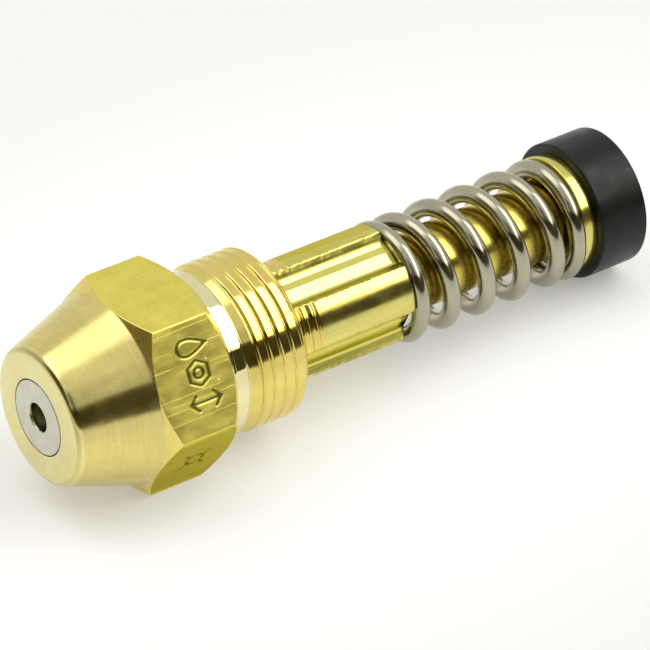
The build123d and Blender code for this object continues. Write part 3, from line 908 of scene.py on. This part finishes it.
def turns_opened(turn):
    """How many of the turns from one end up to here are open ones."""
    past = np.clip(turn - CLOSED_TURNS, 0, None)
    return np.where(past > RAMP_TURNS, past - RAMP_TURNS / 2, past * past / (2 * RAMP_TURNS))


def spring_line(turn):
    """Centre line of the wire; it climbs to +Y as its angle falls."""
    opened = np.where(turn > TURNS / 2, open_turns - turns_opened(TURNS - turn), turns_opened(turn))
    y = SCREW_REAR_Y + FRONT_GROUND + turn * CLOSED_PITCH + opened * (open_pitch - CLOSED_PITCH)
    angle = radians(START_ANGLE) - 2 * pi * turn
    return np.stack([MEAN_R * np.cos(angle), y, MEAN_R * np.sin(angle) - DROP], axis=-1), angle


def tube_faces(stations, around):
    """Faces of a tube with closed ends, from rings of vertices one after the other."""
    faces = []
    for row in range(stations - 1):
        here, there = row * around, (row + 1) * around
        for n in range(around):
            m = (n + 1) % around
            faces.append((here + n, here + m, there + m, there + n))
    faces.append(tuple(range(around))[::-1])
    faces.append(tuple((stations - 1) * around + n for n in range(around)))
    return faces


def build_spring():
    """The wire as a tube round its centre line, ground flat at both ends."""
    turn = np.linspace(0, TURNS, round(TURNS * STATIONS_PER_TURN) + 1)
    centre, angle = spring_line(turn)
    tangent = np.gradient(centre, turn, axis=0)
    tangent /= np.linalg.norm(tangent, axis=1, keepdims=True)
    outward = np.stack([np.cos(angle), 0 * angle, np.sin(angle)], axis=-1)
    outward -= tangent * np.sum(outward * tangent, axis=1, keepdims=True)
    outward /= np.linalg.norm(outward, axis=1, keepdims=True)
    side = np.cross(tangent, outward)
    wire_r = np.full(len(turn), WIRE_R)
    wire_r[[0, -1]] *= WIRE_END
    spin = np.linspace(0, 2 * pi, WIRE_AROUND, endpoint=False)[None, :, None]
    ring = centre[:, None] + wire_r[:, None, None] * (
        np.cos(spin) * outward[:, None] + np.sin(spin) * side[:, None])
    # the front end is just clear of the screw
    ring[..., 1] = np.clip(ring[..., 1], SCREW_REAR_Y + 0.005, SCREW_REAR_Y + spring_length)
    faces = tube_faces(len(turn), WIRE_AROUND)
    return mesh_piece("spring_wire", ring.reshape(-1, 3), faces, "nozzle", [spring_steel])


spring = build_spring()
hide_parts("spring")
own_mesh(spring)


# ---- return tube, collar and seal -------------------------------------------------------
TUBE_R = 3.28
TUBE_BORE_R = 1.90
TUBE_HEAD_R = 3.65
TUBE_HEAD_END_Y = 1.93
TUBE_FRONT_Y = tube_low.y / MM
TUBE_REAR_Y = tube_high.y / MM
GROOVE_MIDDLE_Y = 9.30
ORING_FLOOR_R = 2.48
ORING_HALF_WIDTH = 0.55
SPIGOT_R = 3.90
COLLAR_THICKNESS = 1.18
PORT_R = 2.20
CLEAR = 0.01                 # between pieces that sit on one another
SEAL_EDGE = 0.28             # from the seal's rear face to where its rounded rim touches the floor

return_tube = lathe(
    "return_tube_detail",
    [(TUBE_FRONT_Y, TUBE_BORE_R), (TUBE_FRONT_Y, TUBE_HEAD_R), (TUBE_HEAD_END_Y, TUBE_HEAD_R),
     (TUBE_HEAD_END_Y, TUBE_R), (GROOVE_MIDDLE_Y - ORING_HALF_WIDTH, TUBE_R),
     (GROOVE_MIDDLE_Y - ORING_HALF_WIDTH, ORING_FLOOR_R), (GROOVE_MIDDLE_Y + ORING_HALF_WIDTH, ORING_FLOOR_R),
     (GROOVE_MIDDLE_Y + ORING_HALF_WIDTH, TUBE_R), (TUBE_REAR_Y, TUBE_R), (TUBE_REAR_Y, TUBE_BORE_R)],
    [0, 0.15, 0.03, 0, 0.03, 0, 0, 0.03, 0, 0], [3, 3, 2, 8, 1, 2, 1, 40, 2, 20],
    "return_slider", [brass_tube], columns=144)
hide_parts("return_tube")

spring_collar = lathe(
    "spring_collar_detail",
    [(COLLAR_Y, TUBE_R + CLEAR), (COLLAR_Y, COLLAR_R), (COLLAR_Y + COLLAR_THICKNESS, COLLAR_R),
     (COLLAR_Y + COLLAR_THICKNESS, SPIGOT_R), (COLLAR_REAR_Y, SPIGOT_R), (COLLAR_REAR_Y, TUBE_BORE_R),
     (TUBE_REAR_Y + CLEAR, TUBE_BORE_R), (TUBE_REAR_Y + CLEAR, TUBE_R + CLEAR)],
    [0, 0.10, 0.06, 0, 0.05, 0.05, 0, 0], [8, 5, 3, 4, 4, 3, 2, 6],
    "return_slider", [brass_collar], columns=192)
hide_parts("spring_collar")

seal_ring = lathe(
    "seal_ring_detail",
    [(SEAL_FRONT_Y, SPIGOT_R + CLEAR), (SEAL_FRONT_Y, SEAL_R), (SEAL_REAR_Y, SEAL_R), (SEAL_REAR_Y, PORT_R),
     (COLLAR_REAR_Y + CLEAR, PORT_R), (COLLAR_REAR_Y + CLEAR, SPIGOT_R + CLEAR)],
    [0, 0.22, 0.14, 0.15, 0, 0], [6, 14, 10, 3, 2, 8],
    "return_slider", [seal_rubber], columns=192, arc=8)
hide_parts("seal_ring")


# ---- pieces that stay hidden inside keep their CAD meshes -------------------------------
INNER_LOOKS = {"swirl_disc": disc_steel, "return_insert": brass_inner, "tube_oring": oring_rubber}
for name, material in INNER_LOOKS.items():
    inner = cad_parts[name]
    inner.data.materials.clear()
    inner.data.materials.append(material)


# ---- camera -----------------------------------------------------------------------------
AIM = Vector((1.05, 11.2, -1.15)) * MM      # point that the view passes through
AZIMUTH = 53.26
ELEVATION = 36.20
ROLL = 2.10
DISTANCE = 450.64 * MM
LENS = 310.2
SENSOR = 36.0

azimuth, elevation = radians(AZIMUTH), radians(ELEVATION)
back = Vector((sin(azimuth) * cos(elevation), -cos(azimuth) * cos(elevation), sin(elevation)))
camera_data = bpy.data.cameras.new("camera")
camera_data.lens = LENS
camera_data.sensor_width = SENSOR
camera_data.clip_start = 0.01
camera_data.clip_end = 20.0
camera = bpy.data.objects.new("camera", camera_data)
bpy.context.scene.collection.objects.link(camera)
camera.rotation_mode = "QUATERNION"
camera.location = AIM + back * DISTANCE
turn = (-back).to_track_quat("-Z", "Y").to_matrix() @ Matrix.Rotation(radians(ROLL), 3, "Z")
camera.rotation_quaternion = turn.to_quaternion()
bpy.context.scene.camera = camera


# ---- floor: the nozzle lies on its hexagon and on the seal's edge -----------------------
FLOOR_SIZE = 4.0
GLOW_NEAR = 0.32             # painted light: the sheet glows a little, most of all under the nozzle, where it lightens the nozzle's shadow
GLOW_FAR = 0.12
GLOW_X, GLOW_Y = 0.026, 0.045    # reach of the glow across and along the nozzle, in metres
hex_foot = Vector((0, (CORNER_REAR_Y + HEX_CORNER_R - APOTHEM) * MM, cad_low.z))
seal_foot = Vector((0, (SEAL_REAR_Y - SEAL_EDGE) * MM, seal_low.z))
floor_tilt = atan2(seal_foot.z - hex_foot.z, seal_foot.y - hex_foot.y)

bpy.ops.mesh.primitive_plane_add(size=FLOOR_SIZE)
floor = bpy.context.object
floor.name = "floor"
floor.rotation_euler = (floor_tilt, 0, 0)
floor.location = hex_foot
floor_white, floor_tree, floor_shader = new_material("floor_white")
floor_shader.inputs["Base Color"].default_value = (0.70, 0.70, 0.70, 1)
# the floor glows though it is no lamp: painted light, strongest under the nozzle
floor_shader.inputs["Emission Color"].default_value = (1.0, 1.0, 1.0, 1)
spread = node(floor_tree, "Mapping", {"Scale": (1 / GLOW_X, 1 / GLOW_Y, 1), "Location": (0, -0.2, 0)})
floor_tree.links.new(node(floor_tree, "TexCoord").outputs["Object"], spread.inputs["Vector"])
away = node(floor_tree, "VectorMath", {0: spread.outputs[0]}, operation="LENGTH").outputs["Value"]
fill(floor_tree, floor_shader.inputs["Emission Strength"],
     remap(floor_tree, away, 0.2, 1.9, GLOW_NEAR, GLOW_FAR))
floor_shader.inputs["Roughness"].default_value = 0.7
floor_shader.inputs["Specular IOR Level"].default_value = 0.2
floor.data.materials.append(floor_white)


# ---- light: a white tent with two soft boxes, open and dark low down on the +X side -----
# A direction's place is where it meets a ceiling at height 1 above the nozzle.
TENT_LEVEL = 0.84
GAP_LEVEL = 0.055
GAP_X = (1.43, 1.52)             # the tent ends between these places
LARGE_BOX = (-0.06, 1.70, 0.33, 1.15, 0.03)      # left, right, near, far, softness of the sides
LARGE_BOX_LEVEL = 3.0
SMALL_BOX = (-0.82, 0.00, -0.86, 0.10, 0.13)
SMALL_BOX_LEVEL = 1.35
FRONT_OPENING = Vector((-0.10, -0.93, 0.36))     # a weaker dark place in front of the nose
FRONT_SHARE = 0.85
LENS_SHARE = 0.75                # how much of the tent the camera hides
TENT_COLOUR = (1.0, 0.99, 0.965)
GAP_COLOUR = (1.0, 0.84, 0.42)


def studio_world():
    """The world's light: strength and tint for each direction."""
    world = bpy.data.worlds.new("studio")
    bpy.context.scene.world = world
    world.use_nodes = True
    tree = world.node_tree
    tree.nodes.clear()
    direction = node(tree, "SeparateXYZ", {"Vector": node(tree, "TexCoord").outputs["Generated"]})
    x, y, z = direction.outputs
    above = maths(tree, "MAXIMUM", z, 0.02)
    over_x = maths(tree, "DIVIDE", x, above)
    over_y = maths(tree, "DIVIDE", y, above)

    def box(left, right, near, far, soft):
        """1 inside a rectangle on the ceiling."""
        sides = [
            remap(tree, over_x, left - soft, left + soft), remap(tree, over_x, right + soft, right - soft),
            remap(tree, over_y, near - soft, near + soft), remap(tree, over_y, far + soft, far - soft),
        ]
        inside = maths(tree, "GREATER_THAN", z, 0.3)
        for side in sides:
            inside = maths(tree, "MULTIPLY", inside, side)
        return inside

    def facing(point, start, full):
        """0 from start degrees away from a direction, 1 within full degrees of it."""
        aim = point.normalized()
        dot = maths(tree, "ADD", maths(tree, "MULTIPLY", x, aim.x),
                    maths(tree, "ADD", maths(tree, "MULTIPLY", y, aim.y), maths(tree, "MULTIPLY", z, aim.z)))
        return remap(tree, dot, cos(radians(start)), cos(radians(full)))

    gap = maths(tree, "MULTIPLY", remap(tree, over_x, *GAP_X), remap(tree, z, 0.0, 0.04))
    front = maths(tree, "MULTIPLY", facing(FRONT_OPENING, 34, 14), FRONT_SHARE)
    gap = maths(tree, "MAXIMUM", gap, front)
    lens = maths(tree, "MULTIPLY", facing(back, 25, 9), LENS_SHARE)

    level = maths(tree, "MULTIPLY_ADD", gap, GAP_LEVEL - TENT_LEVEL, TENT_LEVEL)
    level = maths(tree, "MULTIPLY", level, maths(tree, "SUBTRACT", 1.0, lens))
    level = maths(tree, "MULTIPLY_ADD", box(*LARGE_BOX), LARGE_BOX_LEVEL, level)
    level = maths(tree, "MULTIPLY_ADD", box(*SMALL_BOX), SMALL_BOX_LEVEL, level)
    tint = mix_colour(tree, gap, TENT_COLOUR, GAP_COLOUR)
    background = node(tree, "Background", {"Strength": level, "Color": tint})
    out = node(tree, "OutputWorld")
    tree.links.new(background.outputs[0], out.inputs[0])


studio_world()
bpy.context.scene.view_settings.view_transform = "Standard"
